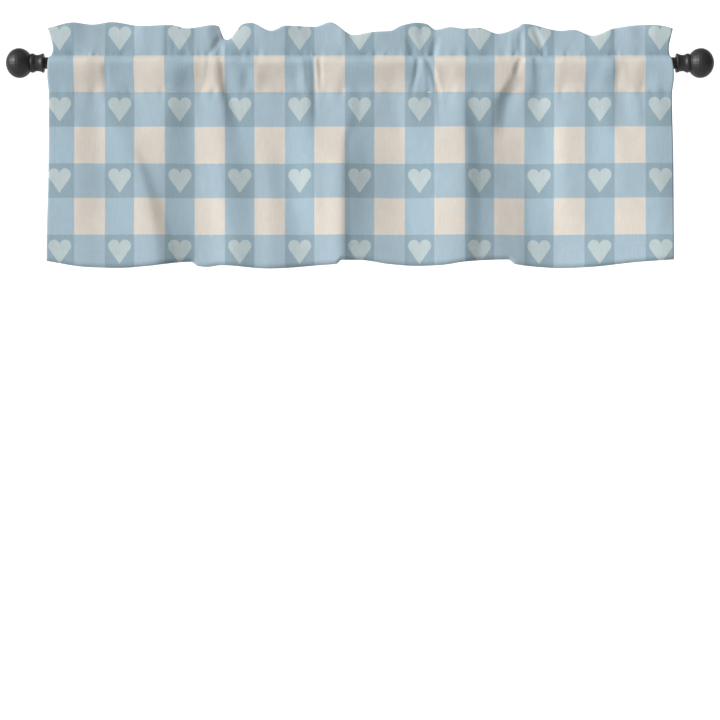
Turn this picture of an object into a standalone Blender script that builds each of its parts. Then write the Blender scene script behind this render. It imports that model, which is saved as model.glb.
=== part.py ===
"""Window valance on its curtain rod.

One gathered cloth hangs from a round rod. The rod runs through the cloth's pocket, a ruffled
double header stands above it, and a ball finial is pushed on each end of the rod.
X runs along the rod, -Y faces the room and Z is up. The origin is on the rod's axis, mid-length.
Lengths are in millimetres, and MM turns them into Blender's metres.
"""

from collections import namedtuple
from math import cos, pi, radians, sin

import bmesh
import bpy
import numpy as np
from mathutils import Matrix
from mathutils.geometry import tessellate_polygon

MM = 0.001

# Rod and finials
ROD_RADIUS = 11.0
SEAT_GAP = 0.3
ROD_SIDES = 32
LIP_FACE_X = 594.0
SOCKET_DEPTH = 24.0
FINIAL_SIDES = 28
BALL_CENTRE = 46.3
BALL_HALF_LENGTH = 25.2
BALL_RADIUS = 28.2
BALL_STEPS = 11

# Cloth
CLOTH_THICKNESS = 1.6
STEEPEST_THICKENING = 2.2
SLOPE_REACH = 1.0

# Columns of points across the cloth: closer together where it bends, by these densities
COLUMNS = 126
FINE_COLUMNS = 1201
FLAT_DENSITY = 0.35
BENT_DENSITY = 0.9
DENSITY_BLUR = 9

# Heights, and the pocket around the rod
HEADER_Z = 66.0
STITCH_Z = 15.5
SEAM_Z = -55.0
POCKET_BOTTOM_Z = -51.0
TURNED_EDGE_Z = -58.5
PANEL_TOP_Z = -60.0
HEM_Z = -375.0
POCKET_RADIUS = 12.1
POCKET_EASE = 3.0
SEAM_LAYERS = 3.2

# Angles around the rod, in degrees above the level of its axis, where the pocket's rows lie
ROW_ANGLES = (-13.0, 20.0, 56.0)
POCKET_LOW_Z = -30.0
PANEL_ROWS = 9
PANEL_ROW_CROWDING = 0.7
HEADER_ROWS = 3
WAIST_SHARE = 0.15

Outline = namedtuple("Outline", "x height")
Side = namedtuple("Side", "height left right")
Crest = namedtuple("Crest", "x out")
Line = namedtuple("Line", "name x depth")
Crease = namedtuple("Crease", "name path")
Hollow = namedtuple("Hollow", "x power")
Ring = namedtuple("Ring", "reach radius")

# The header's top edge, from the left end to the right one
HEADER_TOP = [
    Outline(-587, 66.0), Outline(-538, 76.0), Outline(-504, 72.8), Outline(-468, 78.0),
    Outline(-410, 69.7), Outline(-357, 71.3), Outline(-325, 65.0), Outline(-274, 71.4),
    Outline(-265, 69.0), Outline(-260, 48.0), Outline(-254, 44.0), Outline(-217, 74.0),
    Outline(-205, 75.0), Outline(-168, 60.0), Outline(-139, 70.0), Outline(-85, 68.5),
    Outline(-56, 77.0), Outline(-13, 52.6),
    Outline(26, 58.3), Outline(56, 60.2), Outline(79, 71.0), Outline(109, 76.5),
    Outline(124, 74.6), Outline(143, 63.3), Outline(169, 68.0), Outline(196, 65.0),
    Outline(222, 66.7), Outline(261, 55.6), Outline(297, 67.5), Outline(307, 74.3),
    Outline(380, 61.3), Outline(402, 63.5), Outline(441, 51.7), Outline(480, 65.5),
    Outline(538, 71.4), Outline(570, 69.0), Outline(588, 64.0),
]

# The hem, which steps up where a valley lies back
HEM_LINE = [
    Outline(-589, -372.0), Outline(-514, -383.5), Outline(-450, -385.3), Outline(-400, -382.0),
    Outline(-317, -373.4), Outline(-306, -381.0), Outline(-288, -383.0), Outline(-262, -380.0),
    Outline(-172, -386.3), Outline(-73, -380.0), Outline(-44, -377.7), Outline(-35, -370.4),
    Outline(0, -370.2), Outline(56, -377.7), Outline(108, -381.2), Outline(151, -380.0),
    Outline(197, -373.5), Outline(242, -370.0), Outline(279, -369.0), Outline(293, -377.5),
    Outline(328, -382.0), Outline(380, -385.0), Outline(432, -383.3), Outline(518, -374.7),
    Outline(589, -370.0),
]

# The two side edges, drawn in at the header's stitch line
SIDE_EDGES = [
    Side(-375, -589.3, 588.4), Side(-305, -588.4, 588.4), Side(-220, -585.5, 588.2),
    Side(-62, -584.7, 587.0), Side(-28, -586.6, 589.5), Side(4, -584.7, 585.5),
    Side(26, -577.0, 580.5), Side(66, -586.6, 587.5),
]

# How far the header's top edge stands out into the room at each crest, and back at each dip
RUFFLE = [
    Crest(-587, -0.5), Crest(-570, 0.5), Crest(-553, 2.5), Crest(-538, 3.5), Crest(-528, 1.5),
    Crest(-515, -1), Crest(-498, -3), Crest(-476, -5.5), Crest(-455, -4.5), Crest(-430, -2),
    Crest(-404, 2), Crest(-387, 2), Crest(-370, 2.5), Crest(-350, 2), Crest(-325, 2.5),
    Crest(-303, 1.5), Crest(-287, 2.5), Crest(-264, -2.5), Crest(-250, -3), Crest(-225, 1),
    Crest(-206, 4.5), Crest(-186, 6), Crest(-168, 5), Crest(-150, 4), Crest(-137, 3),
    Crest(-125, 1.5), Crest(-110, 0), Crest(-92, -2), Crest(-74, -2), Crest(-48, -1),
    Crest(-32, 1), Crest(-17, 0), Crest(8, 3), Crest(30, 4), Crest(52, 2.5), Crest(70, 0.5),
    Crest(88, -1.5), Crest(103, -2), Crest(119, -4.5), Crest(136, -4), Crest(152, -3.5),
    Crest(171, -2), Crest(192, -1), Crest(214, -1), Crest(235, -1), Crest(262, -2),
    Crest(286, -1.5), Crest(300, -1.5), Crest(318, -1.5), Crest(340, -2.5), Crest(356, -3),
    Crest(380, -5), Crest(404, -5.5), Crest(432, -3), Crest(450, 0), Crest(468, 2),
    Crest(480, 0.5), Crest(510, 3), Crest(530, 2), Crest(556, 6), Crest(582, 6), Crest(588, 6),
]

# How suddenly the pocket falls back below the rod, from 1, a straight slope, to 2.5, a step
POCKET_HOLLOWS = [
    Hollow(-588, 1.3), Hollow(-530, 1.6), Hollow(-480, 2.0), Hollow(-430, 1.4),
    Hollow(-350, 1.4), Hollow(-320, 2.2), Hollow(-250, 1.6), Hollow(-228, 1.3),
    Hollow(-212, 2.1), Hollow(-196, 1.3), Hollow(-170, 2.2), Hollow(-120, 2.4),
    Hollow(-100, 1.2), Hollow(-45, 1.2), Hollow(-20, 2.3), Hollow(30, 2.2),
    Hollow(62, 2.3), Hollow(90, 1.6), Hollow(120, 1.6), Hollow(142, 1.1), Hollow(165, 2.0),
    Hollow(240, 2.3), Hollow(275, 1.6), Hollow(345, 1.1), Hollow(385, 2.1),
    Hollow(425, 2.0), Hollow(455, 1.2), Hollow(480, 1.8), Hollow(500, 1.1),
    Hollow(530, 1.8), Hollow(560, 1.1), Hollow(588, 1.1),
]

# Drops below the rod's axis at which each fold line's place and depth are given
FOLD_DROPS = (25.0, 85.0, 150.0, 220.0, 350.0)

# Lines that run down the cloth along its ridges and valleys, from left to right. The cloth turns
# smoothly from each line to the next. A positive depth lies back, a negative one stands out.
FOLD_LINES = [
    Line("left edge", (-590, -590, -590, -590, -590), (0, -2, -0.5, -2.5, -0.5)),
    Line("flat by the left edge", (-560, -560, -562, -562, -560), (-0.5, -2.5, -2.5, -4.5, -1.5)),
    Line("before the first hollow", (-515, -525, -538, -538, -532), (-2.5, -1.5, -3.5, -5.5, -3)),
    Line("first hollow", (-493, -494, -490, -480, -486), (-1, 1, 0, 0, -1.5)),
    Line("first ridge", (-474, -468, -440, -410, -384), (1, -1, -3.5, -6, -9.5)),
    Line("foot of the first ridge", (-440, -430, -414, -387, -357), (2, 0.5, -2.5, -0.5, -3)),
    Line("before the trough", (-352, -362, -374, -375, -345), (-6.5, -4.5, -3, 0.5, 1)),
    Line("bottom of the trough", (-318, -316, -312, -308, -306), (0, 2.5, 5, 8, 8)),
    Line("right of the trough", (-302, -302, -296, -288, -286), (1, 2, 4, 6, 7)),
    Line("flat ridge", (-274, -262, -258, -255, -236), (-1.5, -1.5, 1, 1, -1.5)),
    Line("foot of the long crease", (-256, -238, -220, -200, -195), (2.5, 3.5, 4, 6.5, 1.5)),
    Line("plateau", (-200, -195, -188, -175, -165), (0.5, 1, 3.5, 5.5, 0)),
    Line("broad valley", (-135, -140, -146, -140, -114), (2, 1.5, 5, 9, 3)),
    Line("shoulder", (-104, -100, -90, -82, -78), (2, -1.5, -4.5, -5.5, -0.5)),
    Line("beside the shoulder", (-80, -78, -74, -70, -66), (2.5, 1, -5.5, -6.5, -3)),
    Line("narrow ridge", (-26, -20, -36, -37, -37), (-1.5, -3, -7, -11, -8)),
    Line("foot of the narrow ridge", (0, 4, -18, -17, -15), (-1.5, 0, -3, -5.5, -2)),
    Line("deep valley", (22, 25, 22, 22, 22), (-1.5, 0, 3.5, 4.5, 3)),
    Line("bottom of the deep valley", (68, 66, 76, 80, 84), (0.5, 2.5, 5.5, 10.5, 7.5)),
    Line("long slope", (104, 98, 106, 110, 112), (2.5, -2, 1, 5.5, 4)),
    Line("long slope, lower", (148, 150, 150, 150, 150), (2, -2.5, -6, -4, -3.5)),
    Line("wide ridge", (184, 190, 193, 194, 194), (-2.5, -6.5, -8, -9, -8)),
    Line("foot of the wide ridge", (226, 214, 226, 228, 230), (-1, -2.5, 1, 0, 1)),
    Line("above the slanting crease", (284, 246, 246, 256, 260), (-0.5, -1, 4.5, 5, 4)),
    Line("below the slanting crease", (302, 278, 274, 288, 296), (5.5, 9, 8.5, 11, 10)),
    Line("right valley", (322, 304, 312, 314, 326), (4, 7.5, 11, 14, 15.5)),
    Line("low ridge", (346, 332, 344, 344, 352), (6.5, 9.5, 9.5, 10.5, 15.5)),
    Line("flat right of it", (388, 396, 390, 390, 410), (-2, -2, 0.5, -0.5, 7)),
    Line("before the right ridge", (436, 438, 434, 430, 440), (-2.5, -4, -0.5, -2.5, 1)),
    Line("right ridge", (468, 464, 486, 496, 496), (-3, -6.5, -9.5, -11.5, -8)),
    Line("right of the right ridge", (506, 500, 520, 530, 536), (-0.5, -5.5, -10.5, -13.5, -15)),
    Line("by the right edge", (560, 560, 560, 562, 568), (-2.5, -9.5, -12, -15, -20)),
    Line("right edge", (590, 590, 590, 590, 590), (-6, -6.5, -11.5, -13, -20.5)),
]

# Short sharp creases that run down from the gathers: x, z, depth, and the reach to the left and
# to the right, each path from its lower end up
PANEL_CREASES = [
    Crease("first ridge's edge", [(-478, -75, 0, 8, 10), (-478, -45, 1, 8, 10),
                                  (-478, -10, 1.2, 7, 10), (-480, 4, 0, 6, 8)]),
    Crease("apex of the trough", [(-324, -60, 0, 22, 9), (-324, -30, 0.8, 22, 9),
                                  (-326, -8, 1, 20, 8), (-330, 6, 0, 14, 8)]),
    Crease("small crease", [(-304, -62, 0, 9, 12), (-299, -42, 2, 9, 12), (-293, -20, 2.4, 9, 12),
                            (-288, 0, 2, 7, 10), (-285, 12, 0.6, 6, 8)]),
    Crease("long crease", [(-230, -130, 0, 16, 16), (-240, -85, 0.8, 14, 14),
                           (-249, -48, 2.2, 15, 12), (-256, -12, 2.6, 14, 10),
                           (-268, 12, 1, 8, 8)]),
    Crease("crease on the shoulder", [(-84, -120, 0, 12, 8), (-84, -60, 1.4, 12, 8),
                                      (-86, -20, 2.2, 12, 7), (-90, 12, 1.2, 8, 5)]),
    Crease("strip beside it", [(-106, -62, 0, 16, 8), (-106, -30, -1.6, 16, 8),
                               (-107, 0, -1.6, 14, 8), (-108, 12, -0.5, 10, 6)]),
    Crease("crease right of it", [(-74, -70, 0, 8, 8), (-74, -20, 2, 8, 8), (-76, 12, 1.2, 6, 7)]),
    Crease("middle knot, left", [(96, -75, 0, 9, 8), (101, -45, 1.2, 9, 8), (108, -20, 2.4, 9, 7),
                                 (109, 5, 2.2, 7, 6), (106, 14, 0.6, 6, 6)]),
    Crease("middle knot, ridge", [(114, -60, 0, 7, 8), (114, -25, -1.4, 6, 7),
                                  (111, 12, -1, 6, 6)]),
    Crease("middle knot, right", [(147, -120, 0, 9, 9), (144, -60, 1.2, 9, 8),
                                  (139, -38, 2.4, 9, 6), (131, -14, 3, 9, 6),
                                  (123, 4, 1, 7, 6), (118, 12, 0, 6, 6)]),
    Crease("slanting crease", [(232, -135, 0, 16, 16), (254, -90, 0.5, 14, 14),
                               (273, -48, 2, 11, 12), (291, -20, 2.5, 10, 9),
                               (300, 2, 2.5, 9, 8), (302, 14, 1.2, 7, 7)]),
    Crease("right knot, wedge", [(342, -60, 0, 14, 28), (342, -40, 1.8, 14, 28),
                                 (338, -15, 3.2, 14, 26), (329, 5, 2, 8, 14), (327, 14, 1, 6, 8)]),
    Crease("right fold", [(484, -110, 0, 6, 10), (486, -80, 1.4, 7, 10), (489, -40, 2, 11, 12),
                          (492, -5, 2, 11, 12), (493, 14, 1, 8, 9)]),
    Crease("bulge near the right end", [(520, -135, 0, 26, 18), (520, -100, -2, 28, 18),
                                        (520, -66, -2.4, 28, 16), (523, -30, -1.8, 24, 16),
                                        (524, 6, -0.8, 20, 14)]),
]

# Half profile of a finial from its lip outwards, up to the ball: reach along the rod, radius
FINIAL_NECK = [
    Ring(0.0, 17.4), Ring(0.8, 18.2), Ring(2.8, 18.2), Ring(3.8, 17.4), Ring(7.5, 16.0),
    Ring(12.0, 15.4), Ring(16.0, 15.7), Ring(17.6, 17.0), Ring(19.6, 18.0), Ring(22.0, 18.2),
    Ring(24.2, 17.6), Ring(25.6, 16.5),
]


def clear_scene():
    for item in list(bpy.data.objects):
        bpy.data.objects.remove(item, do_unlink=True)


def make_material(name, colour, roughness, metallic):
    material = bpy.data.materials.new(name)
    material.use_nodes = True
    shader = material.node_tree.nodes["Principled BSDF"]
    shader.inputs["Base Color"].default_value = (*colour, 1.0)
    shader.inputs["Roughness"].default_value = roughness
    shader.inputs["Metallic"].default_value = metallic
    return material


def add_object(name, mesh, material):
    item = bpy.data.objects.new(name, mesh)
    item.data.materials.append(material)
    bpy.context.scene.collection.objects.link(item)
    return item


def smooth_step(value):
    value = np.clip(value, 0.0, 1.0)
    return value * value * (3.0 - 2.0 * value)


def soft_positive(value, softness=1.5):
    """The value where it is positive and almost nothing where it isn't, with a soft turn."""
    return 0.5 * (value + np.sqrt(value * value + softness * softness))


def read_table(places, values, at):
    """Read a table's values along a smooth curve that never swings past its rows."""
    places = np.asarray(places, float)
    values = np.asarray(values, float)
    run = np.diff(places)
    slope = np.diff(values) / run
    product = slope[:-1] * slope[1:]
    total = slope[:-1] + slope[1:]
    tangent = np.concatenate([slope[:1], np.zeros(len(total)), slope[-1:]])
    turning = product > 0
    tangent[1:-1][turning] = 2.0 * product[turning] / total[turning]
    at = np.clip(at, places[0], places[-1])
    row = np.clip(np.searchsorted(places, at, side="right") - 1, 0, len(run) - 1)
    share = (at - places[row]) / run[row]
    rest = 1.0 - share
    ends = values[row] * rest * rest * (1.0 + 2.0 * share)
    ends = ends + values[row + 1] * share * share * (3.0 - 2.0 * share)
    leans = share * rest * run[row] * (tangent[row] * rest - tangent[row + 1] * share)
    return ends + leans


def column_of(table, field):
    return [getattr(row, field) for row in table]


def line_turns(places, depths):
    """How steeply the cloth leans across each fold line, so that it never swings past them."""
    slope = np.diff(depths, axis=0) / np.diff(places, axis=0)
    product = slope[:-1] * slope[1:]
    total = slope[:-1] + slope[1:]
    turning = product > 0
    inner = np.where(turning, 2.0 * product / np.where(turning, total, 1.0), 0.0)
    return np.concatenate([slope[:1], inner, slope[-1:]])


def line_depth(x, z):
    """How far the cloth lies back from its flat hang, read across the fold lines."""
    x, z = np.broadcast_arrays(np.asarray(x, float), np.asarray(z, float))
    drop = -z
    places = np.array([read_table(FOLD_DROPS, line.x, drop) for line in FOLD_LINES])
    depths = np.array([read_table(FOLD_DROPS, line.depth, drop) for line in FOLD_LINES])
    turns = line_turns(places, depths)
    x = np.clip(x, places[0], places[-1])
    row = np.clip(np.sum(x >= places, axis=0) - 1, 0, len(FOLD_LINES) - 2)[None]
    near, far = (np.take_along_axis(places, row + step, 0)[0] for step in (0, 1))
    here, there = (np.take_along_axis(depths, row + step, 0)[0] for step in (0, 1))
    lean, next_lean = (np.take_along_axis(turns, row + step, 0)[0] for step in (0, 1))
    share = (x - near) / (far - near)
    rest = 1.0 - share
    ends = here * rest * rest * (1.0 + 2.0 * share) + there * share * share * (3.0 - 2.0 * share)
    return ends + share * rest * (far - near) * (lean * rest - next_lean * share)


def crease_depth(creases, x, z):
    """The sum of hand-placed creases, each a soft trough along its own path."""
    total = np.zeros(np.broadcast(x, z).shape)
    for crease in creases:
        path = np.array(crease.path, float)
        height = path[:, 1]
        centre = np.interp(z, height, path[:, 0])
        deep = np.interp(z, height, path[:, 2], left=0.0, right=0.0)
        reach = np.where(
            x < centre, np.interp(z, height, path[:, 3]), np.interp(z, height, path[:, 4])
        )
        near = np.clip(np.abs(x - centre) / reach, 0.0, 1.0)
        total = total + deep * (0.5 + 0.5 * np.cos(pi * near))
    return total


def fold_depth(x, z):
    """How far the cloth lies back: the slow turns from line to line, and the creases on them."""
    return line_depth(x, z) + crease_depth(PANEL_CREASES, x, z)


def ruffle_out(x):
    return read_table(column_of(RUFFLE, "x"), column_of(RUFFLE, "out"), x)


def header_top(x):
    return read_table(column_of(HEADER_TOP, "x"), column_of(HEADER_TOP, "height"), x)


def pocket_hollow(x):
    return read_table(column_of(POCKET_HOLLOWS, "x"), column_of(POCKET_HOLLOWS, "power"), x)


def hem_height(x):
    return read_table(column_of(HEM_LINE, "x"), column_of(HEM_LINE, "height"), x)


def place_across(share, z):
    """The x of a point at this share of the way from the left edge to the right one."""
    heights = column_of(SIDE_EDGES, "height")
    left = read_table(heights, column_of(SIDE_EDGES, "left"), z)
    right = read_table(heights, column_of(SIDE_EDGES, "right"), z)
    return left + (right - left) * share


def column_shares():
    """Shares of the width for the columns, closer together where the cloth bends most."""
    share = np.linspace(0.0, 1.0, FINE_COLUMNS)
    x = place_across(share, 0.0)
    bend = np.abs(np.gradient(np.gradient(ruffle_out(x))))
    bend = bend + np.abs(np.gradient(np.gradient(header_top(x))))
    for drop in FOLD_DROPS:
        bend = bend + np.abs(np.gradient(np.gradient(fold_depth(x, -drop))))
    window = np.ones(DENSITY_BLUR) / DENSITY_BLUR
    density = FLAT_DENSITY + np.minimum(np.convolve(bend, window, mode="same"), BENT_DENSITY)
    reach = np.concatenate([[0.0], np.cumsum(0.5 * (density[1:] + density[:-1]))])
    return np.interp(np.linspace(0.0, reach[-1], COLUMNS), reach, share)


def lies_back(x, z):
    """Depth of the front face and, behind it, of the back face of the hanging cloth."""
    depth = fold_depth(x, z)
    slope = (fold_depth(x + SLOPE_REACH, z) - fold_depth(x - SLOPE_REACH, z)) / (2.0 * SLOPE_REACH)
    thickening = np.minimum(np.sqrt(1.0 + slope * slope), STEEPEST_THICKENING)
    return depth, depth + CLOTH_THICKNESS * thickening


def panel_rows(shares):
    """Front and back rows from the hem up to just under the pocket's seam."""
    front, back = [], []
    for row in range(PANEL_ROWS):
        climb = (row / (PANEL_ROWS - 1.0)) ** PANEL_ROW_CROWDING
        low = hem_height(place_across(shares, HEM_Z))
        z = low + (PANEL_TOP_Z - low) * climb
        x = place_across(shares, z)
        near, far = lies_back(x, z)
        front.append(np.stack([x, near, z], axis=1))
        back.append(np.stack([x, far, z], axis=1))
    return front, back


def pocket_row(shares, radius, angle, side):
    """A row around the rod: side is -1 in front of it and 1 behind it."""
    z = np.full(len(shares), radius * sin(radians(angle)))
    x = place_across(shares, z)
    hold = cos(radians(angle))
    loose = soft_positive(POCKET_EASE + side * fold_depth(x, z)) * hold
    return np.stack([x, side * (radius * hold + loose), z], axis=1)


def pocket_low_row(shares, offset, side):
    """The row half-way between the rod and the seam, where the two layers close in."""
    z = np.full(len(shares), POCKET_LOW_Z)
    x = place_across(shares, z)
    closing = (POCKET_LOW_Z - SEAM_Z) / -SEAM_Z
    depth = fold_depth(x, z)
    loose = soft_positive(POCKET_EASE + side * depth)
    follow = closing * loose + (1.0 - closing) * side * depth
    fall = POCKET_RADIUS * closing ** pocket_hollow(x)
    return np.stack([x, side * (fall + offset + follow), z], axis=1)


def level_row(shares, z, offset):
    """A row at one height that follows the folds, this far behind the front face."""
    z = np.full(len(shares), float(z))
    x = place_across(shares, z)
    return np.stack([x, fold_depth(x, z) + offset, z], axis=1)


def header_row(shares, climb, offset):
    """A row of the header, from its stitch line at climb 0 to its top edge at 1."""
    top = header_top(place_across(shares, HEADER_Z)) - 0.5 * CLOTH_THICKNESS
    z = STITCH_Z + (top - STITCH_Z) * climb
    x = place_across(shares, z)
    swing = WAIST_SHARE + (1.0 - WAIST_SHARE) * climb ** 0.8
    return np.stack([x, -ruffle_out(x) * swing + offset, z], axis=1)


def outer_rows(shares):
    """All rows of the cloth's outer skin: up the front, over the header and down the back."""
    outside = POCKET_RADIUS + CLOTH_THICKNESS
    front, back = panel_rows(shares)
    rows = front
    rows.append(level_row(shares, SEAM_Z, 0.0))
    rows.append(pocket_low_row(shares, CLOTH_THICKNESS, -1))
    rows += [pocket_row(shares, outside, angle, -1) for angle in ROW_ANGLES]
    climbs = np.linspace(0.0, 1.0, HEADER_ROWS + 1)
    rows += [header_row(shares, climb, -CLOTH_THICKNESS) for climb in climbs]
    crown = header_row(shares, 1.0, 0.0)
    crown[:, 2] += 0.5 * CLOTH_THICKNESS
    rows.append(crown)
    rows += [header_row(shares, climb, CLOTH_THICKNESS) for climb in climbs[::-1]]
    rows += [pocket_row(shares, outside, angle, 1) for angle in ROW_ANGLES[::-1]]
    rows.append(pocket_low_row(shares, CLOTH_THICKNESS, 1))
    rows.append(level_row(shares, TURNED_EDGE_Z, SEAM_LAYERS * CLOTH_THICKNESS))
    rows += back[::-1]
    return rows


def inner_rows(shares):
    """All rows of the pocket's inner skin, from its lowest line round the rod and back."""
    rows = [level_row(shares, POCKET_BOTTOM_Z, 0.5 * SEAM_LAYERS * CLOTH_THICKNESS)]
    rows.append(pocket_low_row(shares, 0.0, -1))
    rows += [pocket_row(shares, POCKET_RADIUS, angle, -1) for angle in ROW_ANGLES]
    apex = level_row(shares, POCKET_RADIUS, 0.0)
    apex[:, 1] = 0.0
    rows.append(apex)
    rows += [pocket_row(shares, POCKET_RADIUS, angle, 1) for angle in ROW_ANGLES[::-1]]
    rows.append(pocket_low_row(shares, 0.0, 1))
    return rows


def add_skin(rows, points, faces):
    """Join each row to the next one, and the last to the first, column by column."""
    first = len(points)
    count = len(rows[0])
    for row in rows:
        points.extend(tuple(point * MM) for point in row)
    for index in range(len(rows)):
        low = first + index * count
        high = first + (index + 1) % len(rows) * count
        for step in range(count - 1):
            faces.append((low + step, low + step + 1, high + step + 1, high + step))
    return [first + index * count for index in range(len(rows))]


def add_end(outer, inner, shift, points, faces):
    """Close one end of the cloth between its outer skin and the pocket's inner skin."""
    loops = [[number + shift for number in ring] for ring in (outer, inner)]
    flat = [[(points[number][1], points[number][2], 0.0) for number in ring] for ring in loops]
    numbers = loops[0] + loops[1]
    for corner in tessellate_polygon(flat):
        faces.append(tuple(numbers[index] for index in corner))


def make_cloth(material):
    """The whole valance as one closed solid: panel, pocket around the rod, and header."""
    shares = column_shares()
    points, faces = [], []
    outer = add_skin(outer_rows(shares), points, faces)
    inner = add_skin(inner_rows(shares), points, faces)
    for shift in (0, COLUMNS - 1):
        add_end(outer, inner, shift, points, faces)
    mesh = bpy.data.meshes.new("valance_cloth")
    mesh.from_pydata(points, [], faces)
    shape = bmesh.new()
    shape.from_mesh(mesh)
    bmesh.ops.recalc_face_normals(shape, faces=shape.faces)
    shape.to_mesh(mesh)
    shape.free()
    mesh.shade_smooth()
    mesh.set_sharp_from_angle(angle=radians(50))
    return add_object("valance_cloth", mesh, material)


def make_rod(material):
    """A plain round bar whose ends stop just short of the bottoms of the finials' sockets."""
    half_length = LIP_FACE_X + SOCKET_DEPTH - SEAT_GAP
    shape = bmesh.new()
    bmesh.ops.create_cone(
        shape, cap_ends=True, segments=ROD_SIDES, radius1=ROD_RADIUS * MM,
        radius2=ROD_RADIUS * MM, depth=2 * half_length * MM,
        matrix=Matrix.Rotation(pi / 2, 4, "Y"),
    )
    mesh = bpy.data.meshes.new("curtain_rod")
    shape.to_mesh(mesh)
    shape.free()
    mesh.shade_smooth()
    mesh.set_sharp_from_angle(angle=radians(40))
    return add_object("curtain_rod", mesh, material)


def finial_profile():
    """Half profile of a finial, from the bottom of its socket round to the ball's tip."""
    bore = ROD_RADIUS + SEAT_GAP
    profile = [(SOCKET_DEPTH, 0.0), (SOCKET_DEPTH, bore), (0.0, bore)]
    profile += [(ring.reach, ring.radius) for ring in FINIAL_NECK]
    neck_end = FINIAL_NECK[-1].reach
    start = np.arccos((neck_end - BALL_CENTRE) / BALL_HALF_LENGTH)
    for step in range(1, BALL_STEPS + 1):
        turn = start * (1.0 - step / BALL_STEPS)
        reach = BALL_CENTRE + BALL_HALF_LENGTH * cos(turn)
        profile.append((reach, max(BALL_RADIUS * sin(turn), 0.0)))
    return profile


def make_finial(name, side, material):
    """A turned ball finial with a neck and a blind socket that the rod's end fills."""
    profile = finial_profile()
    shape = bmesh.new()
    rings = []
    for reach, radius in profile:
        x = side * (LIP_FACE_X + reach) * MM
        if radius < 1e-6:
            rings.append([shape.verts.new((x, 0.0, 0.0))])
            continue
        turns = [2 * pi * step / FINIAL_SIDES for step in range(FINIAL_SIDES)]
        rings.append([
            shape.verts.new((x, radius * MM * cos(turn), radius * MM * sin(turn)))
            for turn in turns
        ])
    for near, far in zip(rings, rings[1:]):
        for step in range(FINIAL_SIDES):
            after = (step + 1) % FINIAL_SIDES
            corners = [near[step % len(near)], near[after % len(near)]]
            corners += [far[after % len(far)], far[step % len(far)]]
            shape.faces.new(list(dict.fromkeys(corners)))
    bmesh.ops.recalc_face_normals(shape, faces=shape.faces)
    mesh = bpy.data.meshes.new(name)
    shape.to_mesh(mesh)
    shape.free()
    mesh.shade_smooth()
    mesh.set_sharp_from_angle(angle=radians(35))
    return add_object(name, mesh, material)


def main():
    clear_scene()
    cloth_finish = make_material("checked_cloth", (0.47, 0.58, 0.64), 0.9, 0.0)
    metal_finish = make_material("black_metal", (0.03, 0.03, 0.032), 0.38, 0.6)
    make_cloth(cloth_finish)
    make_rod(metal_finish)
    make_finial("finial_left", -1, metal_finish)
    make_finial("finial_right", 1, metal_finish)


main()
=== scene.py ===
"""The looks of the window valance: its printed cloth, stitches, metal, camera and light.

Lengths are in millimetres, and MM turns them into Blender's metres. X runs along the rod, -Y
faces the room, Z is up, and the origin is on the rod's axis.
"""

from collections import namedtuple
from math import cos, pi, radians, sin

import bpy
import numpy as np
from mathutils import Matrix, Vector


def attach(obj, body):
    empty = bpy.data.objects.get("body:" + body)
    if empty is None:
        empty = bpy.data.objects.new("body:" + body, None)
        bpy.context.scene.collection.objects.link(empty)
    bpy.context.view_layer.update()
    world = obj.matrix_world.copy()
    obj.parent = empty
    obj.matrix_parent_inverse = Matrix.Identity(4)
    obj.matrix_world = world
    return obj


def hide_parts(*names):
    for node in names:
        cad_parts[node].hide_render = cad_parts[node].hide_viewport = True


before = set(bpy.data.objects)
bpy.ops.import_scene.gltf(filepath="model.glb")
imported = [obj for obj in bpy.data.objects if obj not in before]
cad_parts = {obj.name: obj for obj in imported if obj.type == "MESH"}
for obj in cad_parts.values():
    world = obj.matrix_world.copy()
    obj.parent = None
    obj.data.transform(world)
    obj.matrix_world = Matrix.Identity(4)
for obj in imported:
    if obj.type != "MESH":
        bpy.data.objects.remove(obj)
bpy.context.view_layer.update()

MM = 0.001

# The cloth's own sizes, as in the solid
HEADER_Z = 66.0
STITCH_Z = 15.5
SEAM_Z = -55.0
HEM_Z = -375.0
WRAP_RADIUS = 13.7
POCKET_EASE = 3.0
TIGHT_SHARE = 0.4
FREE_BELOW_Z = 6.0
FREE_FADE = 26.0
FALL_START = 1.4
WAIST_SHARE = 0.15
HIGHEST_ANGLE = 62.0
HEADER_HALF_GAP = 1.5
PINCHED_HALF_GAP = 0.9
CLOSEST_TO_AXIS = 12.4
SHEET_THICKNESS = 0.5

# Columns and rows of the visible sheet
COLUMNS = 412
FINE_COLUMNS = 2001
FLAT_DENSITY = 0.55
BENT_DENSITY = 0.9
DENSITY_BLUR = 15
PANEL_ROWS = 44

# Print: the repeat, the middle of one heart, and the half sizes of the blue stripes
REPEAT_X = 112.74
REPEAT_Z = 133.8
HEART_X = -0.75
HEART_Z = 46.4
HEART_SLIMNESS = 1.05
STRIPE_HALF_X = 27.6
STRIPE_HALF_Z = 32.4
STRIPE_SOFTNESS = 0.8
HEART_SOFTNESS = 0.6
EDGE_WANDER = 2.2

# Half of a heart about its middle: the lobe's circle, and the straight lines of flank and notch,
# each with the cosine of its slope
LOBE_X = 11.1
LOBE_Z = 11.4
LOBE_RADIUS = 11.5
POINT_DROP = 22.9
FLANK_SLOPE = 0.74
FLANK_COSINE = 0.804
NOTCH_RISE = 14.3
NOTCH_SLOPE = 0.478
NOTCH_COSINE = 0.902

# Spots of uneven dye and thread: length along the cloth, length up it, and a shift of the noise
UPRIGHT_THREADS = (0.9, 34.0, 0.0)
LEVEL_THREADS = (11.0, 0.85, 7.0)
PATCHES = (19.0, 26.0, 3.0)
WARM_SPOTS = (21.0, 17.0, 13.0)
SPOT_DETAIL = 2.0
UPRIGHT_CONTRAST = 0.24
LEVEL_CONTRAST = 0.16
PATCH_CONTRAST = 0.10

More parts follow.
